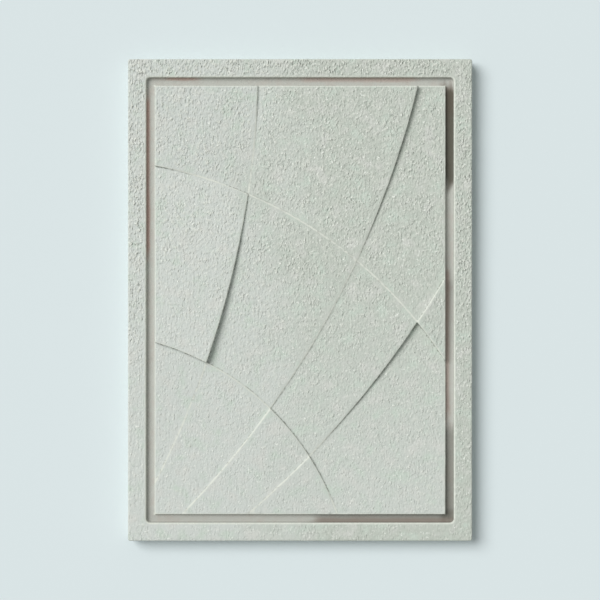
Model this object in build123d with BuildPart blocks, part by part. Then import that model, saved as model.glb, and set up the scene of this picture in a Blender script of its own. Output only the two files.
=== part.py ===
"""Wall relief: a cast plaster panel with a raised border, a groove and a field of tilted facets.

The panel lies on its back. X runs across the picture, Y up the picture and Z out of its face.
The origin is the middle of the back. Lengths are in millimetres and angles in degrees.
"""

import os
from math import radians, sqrt, tan

from build123d import *

# Panel
PANEL_WIDTH = 500.0
PANEL_HEIGHT = 700.0
FLOOR_THICKNESS = 20.0  # from the back to the floor of the groove
OUTER_CORNER_RADIUS = 3.0
OUTER_EDGE_RADIUS = 1.5

# Border and groove
BORDER_WIDTH = 26.5
BORDER_RISE = 7.0  # from the floor of the groove to the border's face
GROOVE_WIDTH = 12.5  # at the level of the border's face
GROOVE_CORNER_RADIUS = 6.0  # outer corners of the groove
GROOVE_RIM_RADIUS = 1.0
DRAFT = 8.0  # lean of the groove's walls, so that the casting leaves its mould

# Curves that divide the field like an open fan, each an arc from one edge of the field to another.
# Where they end is measured along the edges from the field's corners.
INNER_RING_RIGHT_OF_LOWER_LEFT = 265.0
INNER_RING_ABOVE_LOWER_LEFT = 250.0
INNER_RING_RADIUS = 390.0
OUTER_RING_ABOVE_LOWER_RIGHT = 222.0
OUTER_RING_BELOW_UPPER_LEFT = 116.0
OUTER_RING_RADIUS = 640.0
LEFT_BLADE_ABOVE_LOWER_LEFT = 45.0
LEFT_BLADE_RIGHT_OF_UPPER_LEFT = 150.0
MIDDLE_BLADE_RIGHT_OF_LOWER_LEFT = 40.0
MIDDLE_BLADE_LEFT_OF_UPPER_RIGHT = 40.0
RIGHT_BLADE_RIGHT_OF_LOWER_LEFT = 135.0
RIGHT_BLADE_ABOVE_LOWER_RIGHT = 345.0
BLADE_RADIUS = 1350.0

# Facets, ring by ring from the lower left corner outwards, and in each ring from the left blade
# to the right: height of the facet's middle over the groove's floor, then its rise over every
# 100 mm to the right and over every 100 mm up the panel
FACETS = (
    ((6.0, -0.4, 1.8), (5.6, 0.8, 0.6), (6.8, 0.6, 1.2), (7.4, 1.0, 3.0)),
    ((10.2, 2.4, -3.2), (6.6, 1.8, 0.8), (6.8, 2.8, 0.4), (5.6, 1.4, -2.4)),
    ((9.0, -1.6, 3.2), (9.2, 2.6, 0.6), (7.8, 1.4, -2.0), (12.2, -1.6, 4.0)),
)
RISE_RUN = 100.0

# Hanging holes in the back
HANGING_HOLE_RADIUS = 4.0
HANGING_HOLE_DEPTH = 15.0
HANGING_HOLE_SPACING = 300.0
HANGING_HOLE_FROM_TOP = 110.0

# Sizes that follow from those above
OPENING_WIDTH = PANEL_WIDTH - 2 * BORDER_WIDTH
OPENING_HEIGHT = PANEL_HEIGHT - 2 * BORDER_WIDTH
FIELD_WIDTH = OPENING_WIDTH - 2 * GROOVE_WIDTH
FIELD_HEIGHT = OPENING_HEIGHT - 2 * GROOVE_WIDTH
FACET_STOCK = 2 * max(height for ring in FACETS for height, _, _ in ring)  # prisms to cut facets from
SKIRT = BORDER_RISE * tan(radians(DRAFT))  # how far the field's walls lean out at the floor

# Corners of the field, and the directions along its edges
lower_left = Vector(-FIELD_WIDTH / 2, -FIELD_HEIGHT / 2)
lower_right = Vector(FIELD_WIDTH / 2, -FIELD_HEIGHT / 2)
upper_left = Vector(-FIELD_WIDTH / 2, FIELD_HEIGHT / 2)
upper_right = Vector(FIELD_WIDTH / 2, FIELD_HEIGHT / 2)
across = Vector(1, 0)
up = Vector(0, 1)


def curve(start, end, radius):
    """Circle of an arc from start to end that turns left, as its centre and radius."""
    half_chord = (end - start) * 0.5
    to_centre = half_chord.rotate(Axis.Z, 90).normalized()
    reach = sqrt(radius**2 - half_chord.length**2)
    return start + half_chord + to_centre * reach, radius


rings = (
    curve(
        lower_left + across * INNER_RING_RIGHT_OF_LOWER_LEFT,
        lower_left + up * INNER_RING_ABOVE_LOWER_LEFT,
        INNER_RING_RADIUS,
    ),
    curve(
        lower_right + up * OUTER_RING_ABOVE_LOWER_RIGHT,
        upper_left - up * OUTER_RING_BELOW_UPPER_LEFT,
        OUTER_RING_RADIUS,
    ),
)
blades = (
    curve(
        lower_left + up * LEFT_BLADE_ABOVE_LOWER_LEFT,
        upper_left + across * LEFT_BLADE_RIGHT_OF_UPPER_LEFT,
        BLADE_RADIUS,
    ),
    curve(
        lower_left + across * MIDDLE_BLADE_RIGHT_OF_LOWER_LEFT,
        upper_right - across * MIDDLE_BLADE_LEFT_OF_UPPER_RIGHT,
        BLADE_RADIUS,
    ),
    curve(
        lower_left + across * RIGHT_BLADE_RIGHT_OF_LOWER_LEFT,
        lower_right + up * RIGHT_BLADE_ABOVE_LOWER_RIGHT,
        BLADE_RADIUS,
    ),
)


def field_outline():
    """The field's rectangle on the groove's floor, drawn in the sketch that is open."""
    Rectangle(FIELD_WIDTH + 2 * SKIRT, FIELD_HEIGHT + 2 * SKIRT)


def keep_between(circles, place):
    """Cuts the sketch that is open down to one place in a row of circles.

    Place 0 is inside them all, and each next place is past one more of them.
    """
    for number, (centre, radius) in enumerate(circles):
        with Locations(centre):
            Circle(radius, mode=Mode.SUBTRACT if number < place else Mode.INTERSECT)


def make_facet(ring, sector):
    """One facet of the field: a prism on the groove's floor, cut off by its tilted face."""
    height, rise_right, rise_up = FACETS[ring][sector]
    with BuildPart() as facet:
        with BuildSketch(Plane.XY.offset(FLOOR_THICKNESS)) as outline:
            field_outline()
            keep_between(rings, ring)
            keep_between(blades, sector)
        extrude(amount=FACET_STOCK)
        middle = outline.sketch.face().center(CenterOf.MASS)
        face = Plane(
            origin=(middle.X, middle.Y, FLOOR_THICKNESS + height),
            z_dir=(-rise_right / RISE_RUN, -rise_up / RISE_RUN, 1),
        )
        split(bisect_by=face, keep=Keep.BOTTOM)
    return facet.part


facets = [
    make_facet(ring, sector)
    for ring in range(len(rings) + 1)
    for sector in range(len(blades) + 1)
]

with BuildPart() as field:
    add(facets)
    # The field's four walls lean inwards from the groove's floor
    with BuildSketch(Plane.XY.offset(FLOOR_THICKNESS)):
        field_outline()
    extrude(amount=FACET_STOCK, taper=DRAFT, mode=Mode.INTERSECT)

with BuildPart() as relief_panel:
    # Slab, with its outer edges eased except round the back
    Box(
        PANEL_WIDTH,
        PANEL_HEIGHT,
        FLOOR_THICKNESS + BORDER_RISE,
        align=(Align.CENTER, Align.CENTER, Align.MIN),
    )
    fillet(relief_panel.edges().filter_by(Axis.Z), OUTER_CORNER_RADIUS)
    fillet(relief_panel.faces().sort_by(Axis.Z)[-1].edges(), OUTER_EDGE_RADIUS)
    # Opening inside the border, down to the groove's floor
    with BuildSketch(Plane.XY.offset(FLOOR_THICKNESS + BORDER_RISE)):
        RectangleRounded(OPENING_WIDTH, OPENING_HEIGHT, GROOVE_CORNER_RADIUS)
    extrude(amount=-BORDER_RISE, taper=DRAFT, mode=Mode.SUBTRACT)
    border_face = relief_panel.faces().sort_by(Axis.Z)[-1]
    fillet(border_face.inner_wires()[0].edges(), GROOVE_RIM_RADIUS)
    # Field
    add(field.part)
    # Two blind hanging holes in the back
    with BuildSketch(Plane.XY):
        with Locations((0, PANEL_HEIGHT / 2 - HANGING_HOLE_FROM_TOP)):
            with GridLocations(HANGING_HOLE_SPACING, 0, 2, 1):
                Circle(HANGING_HOLE_RADIUS)
    extrude(amount=HANGING_HOLE_DEPTH, mode=Mode.SUBTRACT)

relief_panel.part.label = "relief_panel"
os.makedirs("parts", exist_ok=True)
export_step(relief_panel.part, "parts/relief_panel.step")
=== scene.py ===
"""Wall relief: the plaster of the cast panel, and the studio that it is shown in.

The panel lies on its back on the floor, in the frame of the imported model: X runs across the
picture, Y up the picture and Z out of its face. Lengths are in metres.
"""

from math import cos, radians, sin
from typing import NamedTuple

import bmesh
import bpy
from bpy.props import FloatProperty, FloatVectorProperty, IntProperty, PointerProperty
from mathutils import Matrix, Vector


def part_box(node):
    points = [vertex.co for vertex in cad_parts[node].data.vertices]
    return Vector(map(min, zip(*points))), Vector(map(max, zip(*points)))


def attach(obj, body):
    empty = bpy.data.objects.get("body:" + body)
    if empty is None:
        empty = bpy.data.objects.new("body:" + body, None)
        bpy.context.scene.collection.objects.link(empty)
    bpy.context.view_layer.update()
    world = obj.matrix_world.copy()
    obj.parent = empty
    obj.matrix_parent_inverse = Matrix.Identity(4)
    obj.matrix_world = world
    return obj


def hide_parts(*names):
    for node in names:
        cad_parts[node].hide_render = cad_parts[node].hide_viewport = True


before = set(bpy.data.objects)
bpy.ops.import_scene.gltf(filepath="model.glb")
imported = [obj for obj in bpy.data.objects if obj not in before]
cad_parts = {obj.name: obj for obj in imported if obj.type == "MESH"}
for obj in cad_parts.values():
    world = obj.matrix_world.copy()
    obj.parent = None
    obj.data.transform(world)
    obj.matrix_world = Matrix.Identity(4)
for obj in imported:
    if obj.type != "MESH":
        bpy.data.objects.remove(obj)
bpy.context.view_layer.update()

bl_info = {
    "name": "Wall Relief",
    "version": (1, 0, 0),
    "blender": (4, 5, 0),
    "location": "3D View > Sidebar > Wall Relief",
    "description": "Finishes a cast plaster relief and sets it out in a studio",
    "category": "Object",
}

MM = 0.001
PANEL_NODE = "relief_panel"
PANEL_LOW, PANEL_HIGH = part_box(PANEL_NODE)
HALF_WIDTH = (PANEL_HIGH.x - PANEL_LOW.x) / 2
HALF_HEIGHT = (PANEL_HIGH.y - PANEL_LOW.y) / 2

# Edges of the casting. Those at its outline and round its back are left out.
MERGE_DISTANCE = 0.001 * MM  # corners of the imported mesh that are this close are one
BACK_EDGE = PANEL_LOW.z + 2 * MM  # edges below this belong to the back
OUTER_EDGE = 4 * MM  # edges closer than this to the outline of the panel belong to it
SHARP_TURN = radians(6)  # least turn between two faces that counts as an edge of the casting
RIM = "rim"  # attribute: distance from the nearest edge that turns outwards
CREVICE = "crevice"  # attribute: distance from the nearest edge that turns inwards


class Ramp(NamedTuple):
    """A smooth change: low where a value is at start, high where it is at end."""

    start: float
    end: float
    low: float = 0.0
    high: float = 1.0

    def moved(self, distance):
        """The same change, that much further on."""
        return self._replace(start=self.start + distance, end=self.end + distance)


class Lumps(NamedTuple):
    """Cloudy noise: how large its lumps are, and how many finer layers they carry."""

    size: float
    detail: float = 0.0


class StainAndShade(NamedTuple):
    """A stain in the groove, or a band of painted shade there: where it runs, how wide and strong it
    is, and its colour.
    """

    side: str  # of the groove: left, right, top or bottom
    wall: str  # that it spreads from: border or field
    start: float
    end: float
    width: float
    strength: float
    colour: str  # name of a colour in the plaster's settings


# Along the left and right of the groove each stain, and each band of painted shade, runs up the
# panel, and along the top and bottom to the right, both measured from the middle of the panel.
# Each one lies over those before it.
STAINS_AND_SHADE = (
    StainAndShade("left", "border", 66 * MM, 296 * MM, 7 * MM, 0.95, "rust"),
    StainAndShade("top", "border", -200 * MM, -150 * MM, 5 * MM, 0.75, "rust"),
    StainAndShade("top", "border", 0 * MM, 170 * MM, 9 * MM, 0.5, "rust"),
    StainAndShade("right", "field", 262 * MM, 306 * MM, 26 * MM, 0.8, "rust"),
    # painted shadow: a dark band of shade beside the field at the upper right of the groove
    StainAndShade("right", "field", 168 * MM, 310 * MM, 26 * MM, 0.92, "painted_shade"),
    StainAndShade("right", "field", -174 * MM, 44 * MM, 9 * MM, 0.6, "rust"),
    # painted shade, widening the shade beside the field's right wall
    StainAndShade("right", "field", -174 * MM, 44 * MM, 13 * MM, 0.22, "painted_shade"),
    # painted shade over the lower right of the groove
    StainAndShade("right", "field", -326 * MM, -185 * MM, 26 * MM, 0.52, "painted_shade"),
    StainAndShade("bottom", "border", 22 * MM, 222 * MM, 9 * MM, 0.45, "rust"),
    # painted shade: this row and the next two darken the bottom of the groove
    StainAndShade("bottom", "field", -230 * MM, 230 * MM, 26 * MM, 0.08, "painted_shade"),
    StainAndShade("bottom", "field", 20 * MM, 230 * MM, 26 * MM, 0.36, "painted_shade"),
    StainAndShade("bottom", "border", 22 * MM, 222 * MM, 9 * MM, 0.22, "painted_shade"),
)

# Outlines of the stains and of the bands of painted shade
STAIN_AND_SHADE_INPUTS = ("Along", "Depth", "Start", "End", "Width")
STAIN_AND_SHADE_LUMPS = Lumps(9 * MM, 2.0)
STAIN_AND_SHADE_DRAW = 0.2  # scale along the groove that draws the lumps out
STAIN_AND_SHADE_SHIFT = 40 * MM  # how far the lumps shift the ends
STAIN_AND_SHADE_WAVER = 4 * MM  # how far the lumps shift the edge
STAIN_AND_SHADE_FADE = 12 * MM  # half the length over which an end fades
STAIN_AND_SHADE_CORE = 0.35  # share of the width at full strength
STAIN_AND_SHADE_WALL = Ramp(-12 * MM, 0.0)  # up to the wall that it spreads from

# Masks. The heights of the first two are from the border's face.
BELOW_BORDER = Ramp(-3 * MM, -1 * MM, 1.0, 0.0)
ABOVE_SIDES = Ramp(-12 * MM, -10 * MM)
MASK_BLUR = 1.2 * MM
OFF_GROOVE = Ramp(0.0, 1.0, 1.0, 0.0)
GRAIN_START = PANEL_LOW.z + 1 * MM  # height where the grain sets in
GRAIN_FULL = PANEL_LOW.z + 8 * MM  # height where it is at its full share
BACK_GRAIN = 0.3  # share of the grain in the look of the back

# Stipple
NOISE_MIDDLE = 0.5  # value that noise varies about
DAB_STRETCH = (1.0, 0.55, 1.0)
STROKE_STRETCH = (1.0, 0.16, 1.0)
GRAIN_DETAIL = 1.0
STROKES = Ramp(-0.45, 0.0, 0.4, 0.0)  # share of the strokes, from the lower left
FLECK_LEVEL = Ramp(-0.3, 0.1, 0.55, 0.5)  # noise between flecks and pits, up the panel
FLECK_SPAN = 0.3  # noise from that level to the tips of the flecks, and to the pits
PIT_HEIGHT = -0.5
TIP_HEIGHT = 0.5
FINE_STRETCH = (1.0, 0.7, 1.0)
FINE_GRAIN = Lumps(2.0 * MM, 1.0)
FINE_BUMP = 1.6  # height of the fine grain, with that of the flecks as 1

# Coarseness: how much of the stipple's height there is
FIELD_GRAIN = Ramp(-0.25, 0.22, 0.75, 1.1)  # up the field
BORDER_GRAIN = Ramp(-0.36, 0.2, 0.75, 1.6)  # up the border
SIDE_INSET = 1.5 * MM  # the sides start this far inside the outline
SIDE_GRAIN = Ramp(0.0, 1 * MM, 1.0, 0.45)  # out to the sides
PATCHES = Lumps(30 * MM, 1.0)
PATCH_GRAIN = Ramp(0.3, 0.7, 0.8, 1.2)
GAPS = Lumps(5 * MM)
GAP_GRAIN = Ramp(0.35, 0.65, 0.5, 1.35)
RIM_GRAIN = Ramp(0.5 * MM, 4.5 * MM, 0.45, 1.0)  # away from the rims
CREVICE_GRAIN = Ramp(1 * MM, 10 * MM, 0.4, 1.0)  # away from the crevices
GROOVE_GRAIN = Ramp(0.0, 1.0, 1.0, 0.45)  # into the groove

# Tone: from pale to sage, across the panel and up it, then drifts of warm and cool patches
CLOUDS = Lumps(60 * MM, 2.0)
CLOUD_SHIFT = 0.25  # how far the clouds shift the tone across the panel
SAGE_ACROSS = Ramp(-0.16, 0.06)
SAGE_UP = Ramp(-0.34, 0.1, 0.3, 1.0)
DRIFTS = Lumps(22 * MM, 2.0)
BLUSH_DRIFT = Ramp(0.5, 0.75, 0.0, 0.75)
MINT_DRIFT = Ramp(0.5, 0.25, 0.0, 0.9)

# Painted highlight on the stipple's flecks and tips, and painted shade in its pits, by its height
FLECK_HIGHLIGHT = Ramp(-0.1, 0.4, 0.0, 0.5)
TIP_HIGHLIGHT = Ramp(0.08, 0.26, 0.0, 0.9)
PIT_SHADE = Ramp(-0.1, -0.25, 0.0, 0.4)

# Age and painted light: rust blotches in the groove, painted shade in specks along the other
# crevices, and wear with a painted highlight along the rims
BLOTCHES = Lumps(14 * MM, 3.0)
BLOTCH_RUST = Ramp(0.42, 0.7, 0.0, 0.15)
SPECKS = Lumps(4 * MM, 1.0)
SPECK_SHADE = Ramp(0.48, 0.62)
CREVICE_SHADE = Ramp(0.8 * MM, 2.4 * MM, 0.5, 0.0)
WEAR_AND_HIGHLIGHT = Lumps(7 * MM, 1.0)
WEAR_AND_HIGHLIGHT_SHARE = Ramp(0.3, 0.6, 0.6, 1.0)
RIM_CORE = 0.4  # share of the rims' width with full wear and painted highlight

# Sheen
PLASTER_SPECULAR = 0.25
PLASTER_ROUGHNESS = Ramp(0.0, 1.0, 0.95, 0.82)  # into the groove


class Field:
    """A value or a vector that changes over a surface: one output in a tree of nodes.

    Sums on fields add the nodes that work them out, in a material and in a modifier alike.
    """

    def __init__(self, tree, socket):
        self.tree = tree
        self.socket = socket

    def math(self, operation, *others):
        """One sum on this value and others."""
        node = self.tree.nodes.new("ShaderNodeMath")
        node.operation = operation
        for slot, value in zip(node.inputs, (self, *others)):
            plug(self.tree, value, slot)
        return Field(self.tree, node.outputs[0])

    def __add__(self, other):
        return self.math("ADD", other)

    def __sub__(self, other):
        return self.math("SUBTRACT", other)

    def __mul__(self, other):
        return self.math("MULTIPLY", other)

    def __abs__(self):
        return self.math("ABSOLUTE")

    def __neg__(self):
        return self.math("MULTIPLY", -1.0)

    def highest(self, other):
        """The higher of two values."""
        return self.math("MAXIMUM", other)

    def ramp(self, start, end, low=0.0, high=1.0):
        """Goes smoothly from low, where the value is at start, to high, where it is at end."""
        node = self.tree.nodes.new("ShaderNodeMapRange")
        node.interpolation_type = "SMOOTHSTEP"
        for slot, value in zip(node.inputs, (self, start, end, low, high)):
            plug(self.tree, value, slot)
        return Field(self.tree, node.outputs[0])

    def towards(self, other, share):
        """This value where the share is 0, the other where it is 1."""
        return self + (other - self) * share

    def axes(self):
        """The three coordinates of a place."""
        node = self.tree.nodes.new("ShaderNodeSeparateXYZ")
        plug(self.tree, self, node.inputs[0])
        return [Field(self.tree, output) for output in node.outputs]

    def stretched(self, factors):
        """A place scaled along each axis."""
        node = self.tree.nodes.new("ShaderNodeVectorMath")
        node.operation = "MULTIPLY"
        plug(self.tree, self, node.inputs[0])
        node.inputs[1].default_value = factors
        return Field(self.tree, node.outputs[0])

    def noise(self, size, detail=0.0):
        """Cloudy lumps about as large as size, as a value round NOISE_MIDDLE."""
        node = self.tree.nodes.new("ShaderNodeTexNoise")
        plug(self.tree, self, node.inputs["Vector"])
        node.inputs["Scale"].default_value = 1.0 / size
        node.inputs["Detail"].default_value = detail
        return Field(self.tree, node.outputs[0])


def plug(tree, value, slot):
    """Wires a field to a node's slot, or sets the slot to a plain value or colour."""
    if isinstance(value, Field):
        tree.links.new(value.socket, slot)
    elif slot.type == "RGBA":
        slot.default_value = (*value, 1.0)
    else:
        slot.default_value = value


def tinted(colour, tint, share):
    """The first colour where the share is 0, the tint where it is 1 or more."""
    node = share.tree.nodes.new("ShaderNodeMix")
    node.data_type = "RGBA"
    slots = [slot for slot in node.inputs if slot.enabled]
    for slot, value in zip(slots, (share, colour, tint)):
        plug(share.tree, value, slot)
    return Field(share.tree, next(slot for slot in node.outputs if slot.enabled))


class PlasterSettings(bpy.types.PropertyGroup):
    """Sizes and colours of the plaster"""

    border_width: FloatProperty(
        name="Border Width",
        description="Width of the raised border round the groove",
        default=26.5 * MM,
        subtype="DISTANCE",
    )
    border_top: FloatProperty(
        name="Border Top",
        description="Height of the border's face over the back of the panel",
        default=27 * MM,
        subtype="DISTANCE",
    )
    groove_width: FloatProperty(
        name="Groove Width",
        description="Width of the groove between the border and the field",
        default=12.5 * MM,
        subtype="DISTANCE",
    )
    voxel: FloatProperty(
        name="Voxel",
        description="Size of the cells that the casting is meshed with",
        default=1.0 * MM,
        subtype="DISTANCE",
        precision=4,
    )
    easing: IntProperty(
        name="Easing",
        description="How many times the edges of the casting are rubbed down",
        default=1,
    )
    triangles: IntProperty(
        name="Triangles",
        description="How many triangles the finished casting has",
        default=195000,
    )
    grain_size: FloatProperty(
        name="Grain Size",
        description="Width of one lump of the stipple",
        default=2.7 * MM,
        subtype="DISTANCE",
        precision=4,
    )
    grain_height: FloatProperty(
        name="Grain Height",
        description="Height of the flecks of the stipple",
        default=0.55 * MM,
        subtype="DISTANCE",
        precision=5,
    )
    fine_height: FloatProperty(
        name="Fine Height",
        description="Height that the bump on the stipple stands for",
        default=0.64 * MM,
        subtype="DISTANCE",
        precision=5,
    )
    rim_width: FloatProperty(
        name="Rim Width",
        description="Width of the pale line along the edges of the casting",
        default=1.9 * MM,
        subtype="DISTANCE",
        precision=4,
    )
    pale: FloatVectorProperty(
        name="Pale",
        description="Colour of the plaster at the lower left",
        default=(0.610, 0.641, 0.606),
        subtype="COLOR",
    )
    sage: FloatVectorProperty(
        name="Sage",
        description="Colour of the plaster at the upper right",
        default=(0.517, 0.553, 0.494),
        subtype="COLOR",
    )
    blush: FloatVectorProperty(
        name="Blush",
        description="Colour of the warm patches in the plaster",
        default=(0.632, 0.640, 0.600),
        subtype="COLOR",
    )
    mint: FloatVectorProperty(
        name="Mint",
        description="Colour of the cool patches in the plaster",
        default=(0.560, 0.628, 0.556),
        subtype="COLOR",
    )
    # also a painted highlight: on the flecks of the stipple, and with wear on the rims
    highlight_cream: FloatVectorProperty(
        name="Highlight Cream",
        description="Colour of the flecks of the stipple and of worn edges",
        default=(0.70, 0.72, 0.65),
        subtype="COLOR",
    )
    # painted highlight on the tips of the fine grain
    tip_highlight: FloatVectorProperty(
        name="Tip Highlight",
        description="Colour of the tips of the fine grain",
        default=(0.82, 0.84, 0.78),
        subtype="COLOR",
    )
    # painted shade in the pits of the fine grain
    pit_shade: FloatVectorProperty(
        name="Pit Shade",
        description="Colour of the pits in the fine grain",
        default=(0.40, 0.43, 0.375),
        subtype="COLOR",
    )
    groove: FloatVectorProperty(
        name="Groove",
        description="Colour of the bare plaster in the groove",
        default=(0.48, 0.485, 0.445),
        subtype="COLOR",
    )
    rust: FloatVectorProperty(
        name="Rust",
        description="Colour of the reddish stains in the groove",
        default=(0.45, 0.32, 0.275),
        subtype="COLOR",
    )
    # painted shade: the dark bands in the groove and the dotted shade along the crevices
    painted_shade: FloatVectorProperty(
        name="Painted Shade",
        description="Colour of the dark stains in the groove and of dust in the crevices",
        default=(0.086, 0.079, 0.058),
        subtype="COLOR",
    )


class StudioSettings(bpy.types.PropertyGroup):
    """Floor, lights and camera"""

    floor_size: FloatProperty(
        name="Floor Size",
        description="Side of the square floor",
        default=12.0,
        subtype="DISTANCE",
    )
    floor_colour: FloatVectorProperty(
        name="Floor Colour",
        description="Colour of the floor",
        default=(0.71, 0.78, 0.794),
        subtype="COLOR",
    )
    key_azimuth: FloatProperty(
        name="Key Azimuth",
        description="Where the key light comes from, from the right anticlockwise",
        default=radians(148),
        subtype="ANGLE",
    )
    key_elevation: FloatProperty(
        name="Key Elevation",
        description="Height of the key light over the floor",
        default=radians(50),
        subtype="ANGLE",
    )
    key_softness: FloatProperty(
        name="Key Softness",
        description="Width of the key light as the panel sees it",
        default=radians(40),
        subtype="ANGLE",
    )
    key_strength: FloatProperty(
        name="Key Strength",
        description="Strength of the key light",
        default=2.65,
    )
    fill_strength: FloatProperty(
        name="Fill Strength",
        description="Strength of the light from all round",
        default=0.35,
    )
    fill_colour: FloatVectorProperty(
        name="Fill Colour",
        description="Colour of the light from all round",
        default=(0.96, 1.0, 0.985),
        subtype="COLOR",
    )
    camera_height: FloatProperty(
        name="Camera Height",
        description="Height of the camera over the face of the panel",
        default=2.2,
        subtype="DISTANCE",
    )
    picture_width: FloatProperty(
        name="Picture Width",
        description="Width of the picture at the face of the panel",
        default=0.8675,
        subtype="DISTANCE",
    )


def past(place, inset):
    """How far a place lies past the rectangle this far inside the panel, below 0 inside it."""
    x, y, _ = place.axes()
    return (abs(x) - (HALF_WIDTH - inset)).highest(abs(y) - (HALF_HEIGHT - inset))


def border_and_groove(place, plaster):
    """Two masks: 1 on the border alone, and 1 in the groove alone."""
    _, _, z = place.axes()
    past_field = past(place, plaster.border_width + plaster.groove_width).ramp(0.0, MASK_BLUR)
    within_border = past(place, plaster.border_width / 2).ramp(0.0, MASK_BLUR, 1.0, 0.0)
    below_border = z.ramp(*BELOW_BORDER.moved(plaster.border_top))
    on_face = z.ramp(*ABOVE_SIDES.moved(plaster.border_top))
    groove = past_field * within_border * below_border
    return (past_field - groove) * on_face, groove * on_face


def stipple(place, plaster):
    """Height of the stipple, from its pits to the tips of its flecks.

    The flecks are small upright dabs, drawn out into sparser strokes towards the lower left.
    """
    dabs = place.stretched(DAB_STRETCH).noise(plaster.grain_size, GRAIN_DETAIL)
    strokes = place.stretched(STROKE_STRETCH).noise(plaster.grain_size, GRAIN_DETAIL)
    x, y, _ = place.axes()
    brushed = dabs.towards(strokes, (x + y).ramp(*STROKES))
    level = y.ramp(*FLECK_LEVEL)
    return brushed.ramp(level - FLECK_SPAN, level + FLECK_SPAN, PIT_HEIGHT, TIP_HEIGHT)


def off_back(place, least=0.0):
    """Mask of all but the back, where it is least."""
    _, _, z = place.axes()
    return z.ramp(GRAIN_START, GRAIN_FULL, least, 1.0)


def coarseness(place, rim, crevice, plaster):
    """Share of the stipple's height that a place has: more up the panel, less along the edges."""
    _, y, _ = place.axes()
    border, groove = border_and_groove(place, plaster)
    on_face = y.ramp(*FIELD_GRAIN).towards(y.ramp(*BORDER_GRAIN), border)
    on_sides = past(place, SIDE_INSET).ramp(*SIDE_GRAIN)
    patchy = place.noise(*PATCHES).ramp(*PATCH_GRAIN)
    sparse = place.noise(*GAPS).ramp(*GAP_GRAIN)
    calm = rim.ramp(*RIM_GRAIN) * crevice.ramp(*CREVICE_GRAIN)
    smooth = groove.ramp(*GROOVE_GRAIN)
    return on_face * on_sides * patchy * sparse * calm * smooth


def on_outline(point):
    """Whether a point is at the outline of the panel."""
    return abs(point.x) > HALF_WIDTH - OUTER_EDGE or abs(point.y) > HALF_HEIGHT - OUTER_EDGE


def edge_lines(name, mesh, outward):
    """Object of the edges where the casting turns sharply outwards, or else inwards."""
    lines = bmesh.new()
    lines.from_mesh(mesh)
    sign = 1 if outward else -1
    plain = [
        edge
        for edge in lines.edges
        if sign * edge.calc_face_angle_signed(0.0) < SHARP_TURN
        or max(vertex.co.z for vertex in edge.verts) < BACK_EDGE
        or on_outline(edge.verts[0].co)
    ]
    bmesh.ops.delete(lines, geom=plain, context="EDGES_FACES")
    wires = bpy.data.meshes.new(name)
    lines.to_mesh(wires)
    lines.free()
    return bpy.data.objects.new(name, wires)


def modifier_tree(name):
    """Empty tree of geometry nodes, with its first and last nodes."""
    tree = bpy.data.node_groups.new(name, "GeometryNodeTree")
    tree.interface.new_socket("Geometry", in_out="INPUT", socket_type="NodeSocketGeometry")
    tree.interface.new_socket("Geometry", in_out="OUTPUT", socket_type="NodeSocketGeometry")
    return tree, tree.nodes.new("NodeGroupInput"), tree.nodes.new("NodeGroupOutput")


def distance_to(tree, lines):
    """How far each point lies from an object of edges."""
    source = tree.nodes.new("GeometryNodeObjectInfo")
    source.inputs["Object"].default_value = lines
    near = tree.nodes.new("GeometryNodeProximity")
    near.target_element = "EDGES"
    tree.links.new(source.outputs["Geometry"], near.inputs[0])
    return Field(tree, near.outputs["Distance"])


def stipple_tree(plaster, edges):
    """Geometry nodes that raise the stipple on every side of the panel but its back."""
    tree, start, end = modifier_tree("Plaster Stipple")
    place = Field(tree, tree.nodes.new("GeometryNodeInputPosition").outputs[0])
    normal = Field(tree, tree.nodes.new("GeometryNodeInputNormal").outputs[0])
    rim = distance_to(tree, edges[RIM])
    crevice = distance_to(tree, edges[CREVICE])
    share = coarseness(place, rim, crevice, plaster) * off_back(place)
    push = tree.nodes.new("ShaderNodeVectorMath")
    push.operation = "SCALE"
    plug(tree, normal, push.inputs[0])
    plug(tree, stipple(place, plaster) * share * plaster.grain_height, push.inputs["Scale"])
    move = tree.nodes.new("GeometryNodeSetPosition")
    tree.links.new(start.outputs[0], move.inputs["Geometry"])
    tree.links.new(push.outputs[0], move.inputs["Offset"])
    tree.links.new(move.outputs[0], end.inputs[0])
    return tree


def edge_tree(edges):
    """Geometry nodes that note how far each point lies from the edges of the casting."""
    tree, start, end = modifier_tree("Casting Edges")
    shape = start.outputs[0]
    for name, lines in edges.items():
        store = tree.nodes.new("GeometryNodeStoreNamedAttribute")
        store.data_type = "FLOAT"
        store.domain = "POINT"
        store.inputs["Name"].default_value = name
        tree.links.new(shape, store.inputs["Geometry"])
        plug(tree, distance_to(tree, lines), store.inputs["Value"])
        shape = store.outputs[0]
    tree.links.new(shape, end.inputs[0])
    return tree


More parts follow.
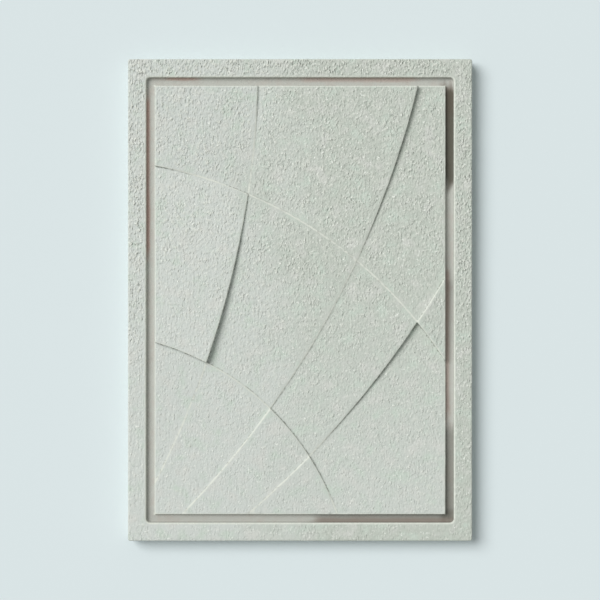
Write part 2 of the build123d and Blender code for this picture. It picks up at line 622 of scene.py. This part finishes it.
def stain_and_shade_group():
    """Node group that masks one stain, or one band of painted shade, in the groove, with ragged ends
    and a ragged edge.
    """
    tree = bpy.data.node_groups.new("Groove Stain And Shade", "ShaderNodeTree")
    tree.interface.new_socket("Place", in_out="INPUT", socket_type="NodeSocketVector")
    for name in STAIN_AND_SHADE_INPUTS:
        tree.interface.new_socket(name, in_out="INPUT", socket_type="NodeSocketFloat")
    tree.interface.new_socket("Mask", in_out="OUTPUT", socket_type="NodeSocketFloat")
    start = tree.nodes.new("NodeGroupInput")
    end = tree.nodes.new("NodeGroupOutput")
    place = Field(tree, start.outputs["Place"])
    along, depth, first, last, width = [Field(tree, start.outputs[name]) for name in STAIN_AND_SHADE_INPUTS]
    ragged = place.noise(*STAIN_AND_SHADE_LUMPS) - NOISE_MIDDLE
    shifted = along + ragged * STAIN_AND_SHADE_SHIFT
    begun = shifted.ramp(first - STAIN_AND_SHADE_FADE, first + STAIN_AND_SHADE_FADE)
    unended = shifted.ramp(last - STAIN_AND_SHADE_FADE, last + STAIN_AND_SHADE_FADE, 1.0, 0.0)
    spread = (depth + ragged * STAIN_AND_SHADE_WAVER).ramp(width * STAIN_AND_SHADE_CORE, width, 1.0, 0.0)
    this_side = depth.ramp(*STAIN_AND_SHADE_WALL)
    plug(tree, begun * unended * spread * this_side, end.inputs["Mask"])
    return tree


def stain_and_shade_mask(group, place, groove, stain_and_shade, plaster):
    """Where one stain, or one band of painted shade, lies, and how strong it is there."""
    x, y, _ = place.axes()
    half_width = HALF_WIDTH - plaster.border_width
    half_height = HALF_HEIGHT - plaster.border_width
    up = (1.0, STAIN_AND_SHADE_DRAW, 1.0)
    across = (STAIN_AND_SHADE_DRAW, 1.0, 1.0)
    along, depth, drawn_out = {
        "left": (y, x + half_width, up),
        "right": (y, -x + half_width, up),
        "top": (x, -y + half_height, across),
        "bottom": (x, y + half_height, across),
    }[stain_and_shade.side]
    if stain_and_shade.wall == "field":
        depth = -depth + plaster.groove_width
    node = place.tree.nodes.new("ShaderNodeGroup")
    node.node_tree = group
    inputs = (place.stretched(drawn_out), along, depth, stain_and_shade.start, stain_and_shade.end, stain_and_shade.width)
    for slot, value in zip(node.inputs, inputs):
        plug(place.tree, value, slot)
    return Field(place.tree, node.outputs["Mask"]) * groove * stain_and_shade.strength


def attribute(tree, name):
    """A value that is stored on the mesh."""
    node = tree.nodes.new("ShaderNodeAttribute")
    node.attribute_name = name
    return Field(tree, node.outputs["Fac"])


def toned(place, border, plaster):
    """Colour of the plaster: pale, turning to sage, with warm and cool patches."""
    x, y, _ = place.axes()
    clouds = place.noise(*CLOUDS) - NOISE_MIDDLE
    sage = (x + clouds * CLOUD_SHIFT).ramp(*SAGE_ACROSS) * y.ramp(*SAGE_UP).highest(border)
    base = tinted(plaster.pale, plaster.sage, sage)
    drifts = place.noise(*DRIFTS)
    base = tinted(base, plaster.blush, drifts.ramp(*BLUSH_DRIFT))
    return tinted(base, plaster.mint, drifts.ramp(*MINT_DRIFT))


def grain_light_and_shade(base, flecks, fine, share, plaster):
    """A colour with painted highlight on the stipple's flecks and tips, and painted shade in its
    pits.
    """
    base = tinted(base, plaster.highlight_cream, flecks.ramp(*FLECK_HIGHLIGHT) * share)
    base = tinted(base, plaster.tip_highlight, fine.ramp(*TIP_HIGHLIGHT) * share)
    return tinted(base, plaster.pit_shade, fine.ramp(*PIT_SHADE) * share)


def aged_with_painted_light(base, place, groove, rim, crevice, plaster):
    """A colour with the darker groove and its rust blotches, painted shade in specks along the
    crevices, and worn rims with a painted highlight.
    """
    base = tinted(base, plaster.groove, groove)
    blotches = place.noise(*BLOTCHES).ramp(*BLOTCH_RUST)
    base = tinted(base, plaster.rust, blotches * groove)
    # painted shade, in specks, at the foot of the inward edges outside the groove
    specks = place.noise(*SPECKS).ramp(*SPECK_SHADE)
    dotted_shade = crevice.ramp(*CREVICE_SHADE) * specks * groove.ramp(*OFF_GROOVE)
    base = tinted(base, plaster.painted_shade, dotted_shade)
    # pale rims: wear, and a painted highlight of the lit edges
    patchy = place.noise(*WEAR_AND_HIGHLIGHT).ramp(*WEAR_AND_HIGHLIGHT_SHARE)
    worn_and_highlit = rim.ramp(plaster.rim_width * RIM_CORE, plaster.rim_width, 1.0, 0.0) * patchy
    return tinted(base, plaster.highlight_cream, worn_and_highlit)


def stained_and_shaded(base, place, groove, plaster):
    """A colour with the stains in the groove and its bands of painted shade."""
    group = stain_and_shade_group()
    for stain_and_shade in STAINS_AND_SHADE:
        mask = stain_and_shade_mask(group, place, groove, stain_and_shade, plaster)
        base = tinted(base, getattr(plaster, stain_and_shade.colour), mask)
    return base


def plaster_material(plaster):
    """Pale stippled plaster with a smoother groove that is stained in places, painted highlight on
    its rims and the stipple's tips, and painted shade in the stipple's pits, along the crevices and
    in bands in the groove.
    """
    material = bpy.data.materials.new("plaster")
    material.use_nodes = True
    tree = material.node_tree
    place = Field(tree, tree.nodes.new("ShaderNodeTexCoord").outputs["Object"])
    rim = attribute(tree, RIM)
    crevice = attribute(tree, CREVICE)
    border, groove = border_and_groove(place, plaster)
    flecks = stipple(place, plaster)
    fine = place.stretched(FINE_STRETCH).noise(*FINE_GRAIN) - NOISE_MIDDLE
    share = coarseness(place, rim, crevice, plaster) * off_back(place, least=BACK_GRAIN)

    base = toned(place, border, plaster)
    base = grain_light_and_shade(base, flecks, fine, share, plaster)
    base = aged_with_painted_light(base, place, groove, rim, crevice, plaster)
    base = stained_and_shaded(base, place, groove, plaster)
    bump = tree.nodes.new("ShaderNodeBump")
    bump.inputs["Distance"].default_value = plaster.fine_height
    plug(tree, (flecks + fine * FINE_BUMP) * share, bump.inputs["Height"])

    shader = tree.nodes["Principled BSDF"]
    shader.inputs["Specular IOR Level"].default_value = PLASTER_SPECULAR
    plug(tree, base, shader.inputs["Base Color"])
    plug(tree, groove.ramp(*PLASTER_ROUGHNESS), shader.inputs["Roughness"])
    tree.links.new(bump.outputs[0], shader.inputs["Normal"])
    return material


def triangle_count(mesh):
    """How many triangles the faces of a mesh make."""
    return sum(len(face.vertices) - 2 for face in mesh.polygons)


def apply_modifier(panel, name, kind, **values):
    """Adds a modifier with these values to the panel, which is the active object, and applies it."""
    modifier = panel.modifiers.new(name, kind)
    for key, value in values.items():
        setattr(modifier, key, value)
    bpy.ops.object.modifier_apply(modifier=modifier.name)


class RELIEF_OT_cast_panel(bpy.types.Operator):
    """Casts the plaster panel, with its stippled face, its stained groove and its painted highlight
    and shade
    """

    bl_idname = "relief.cast_panel"
    bl_label = "Cast Panel"

    def execute(self, context):
        plaster = context.scene.plaster
        bpy.ops.object.select_all(action="DESELECT")
        panel = bpy.data.objects.new("plaster_relief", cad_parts[PANEL_NODE].data.copy())
        context.scene.collection.objects.link(panel)
        panel.select_set(True)
        context.view_layer.objects.active = panel
        bpy.ops.object.mode_set(mode="EDIT")
        bpy.ops.mesh.select_all(action="SELECT")
        bpy.ops.mesh.remove_doubles(threshold=MERGE_DISTANCE)
        bpy.ops.object.mode_set(mode="OBJECT")
        edges = {
            RIM: edge_lines(RIM, panel.data, outward=True),
            CREVICE: edge_lines(CREVICE, panel.data, outward=False),
        }

        apply_modifier(panel, "Casting", "REMESH", mode="VOXEL", voxel_size=plaster.voxel)
        apply_modifier(panel, "Easing", "SMOOTH", iterations=plaster.easing)
        apply_modifier(panel, "Stipple", "NODES", node_group=stipple_tree(plaster, edges))
        kept = plaster.triangles / triangle_count(panel.data)
        apply_modifier(panel, "Thinning", "DECIMATE", ratio=kept)
        apply_modifier(panel, "Edges", "NODES", node_group=edge_tree(edges))
        for lines in edges.values():
            bpy.data.objects.remove(lines)

        bpy.ops.object.shade_smooth()
        panel.data.materials.clear()
        panel.data.materials.append(plaster_material(plaster))
        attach(panel, "root")
        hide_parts(PANEL_NODE)
        return {"FINISHED"}


class RELIEF_OT_set_stage(bpy.types.Operator):
    """Sets out the floor, the lights and the camera"""

    bl_idname = "relief.set_stage"
    bl_label = "Set Stage"

    def execute(self, context):
        studio = context.scene.studio
        bpy.ops.object.select_all(action="DESELECT")
        bpy.ops.mesh.primitive_plane_add(size=studio.floor_size, location=(0, 0, PANEL_LOW.z))
        floor = context.active_object
        floor.name = "floor"
        material = bpy.data.materials.new("floor")
        material.use_nodes = True
        shader = material.node_tree.nodes["Principled BSDF"]
        shader.inputs["Base Color"].default_value = (*studio.floor_colour, 1.0)
        shader.inputs["Roughness"].default_value = 1.0
        shader.inputs["Specular IOR Level"].default_value = 0.0
        floor.data.materials.append(material)

        towards_key = Vector((
            cos(studio.key_azimuth) * cos(studio.key_elevation),
            sin(studio.key_azimuth) * cos(studio.key_elevation),
            sin(studio.key_elevation),
        ))
        bpy.ops.object.light_add(type="SUN", location=towards_key * studio.camera_height)
        key = context.active_object
        key.name = "key_light"
        key.rotation_euler = towards_key.to_track_quat("Z", "Y").to_euler()
        key.data.energy = studio.key_strength
        key.data.angle = studio.key_softness

        world = bpy.data.worlds.new("studio")
        world.use_nodes = True
        context.scene.world = world
        background = world.node_tree.nodes["Background"]
        background.inputs["Strength"].default_value = studio.fill_strength
        background.inputs["Color"].default_value = (*studio.fill_colour, 1.0)

        above = PANEL_HIGH.z + studio.camera_height
        bpy.ops.object.camera_add(location=(0, 0, above), rotation=(0, 0, 0))
        camera = context.active_object
        camera.name = "camera"
        camera.data.lens = camera.data.sensor_width * studio.camera_height / studio.picture_width
        context.scene.camera = camera
        context.scene.view_settings.view_transform = "Standard"
        return {"FINISHED"}


class RELIEF_PT_sidebar(bpy.types.Panel):
    """The relief's settings and the steps that make it"""

    bl_label = "Wall Relief"
    bl_idname = "RELIEF_PT_sidebar"
    bl_space_type = "VIEW_3D"
    bl_region_type = "UI"
    bl_category = "Wall Relief"

    def draw(self, context):
        for settings, step in (
            (context.scene.plaster, RELIEF_OT_cast_panel),
            (context.scene.studio, RELIEF_OT_set_stage),
        ):
            for name in settings.__annotations__:
                self.layout.prop(settings, name)
            self.layout.operator(step.bl_idname)


CLASSES = (
    PlasterSettings,
    StudioSettings,
    RELIEF_OT_cast_panel,
    RELIEF_OT_set_stage,
    RELIEF_PT_sidebar,
)


def register():
    for cls in CLASSES:
        bpy.utils.register_class(cls)
    bpy.types.Scene.plaster = PointerProperty(type=PlasterSettings)
    bpy.types.Scene.studio = PointerProperty(type=StudioSettings)


def unregister():
    del bpy.types.Scene.studio
    del bpy.types.Scene.plaster
    for cls in reversed(CLASSES):
        bpy.utils.unregister_class(cls)


def main():
    register()
    bpy.ops.relief.cast_panel()
    bpy.ops.relief.set_stage()


if __name__ == "__main__":
    main()
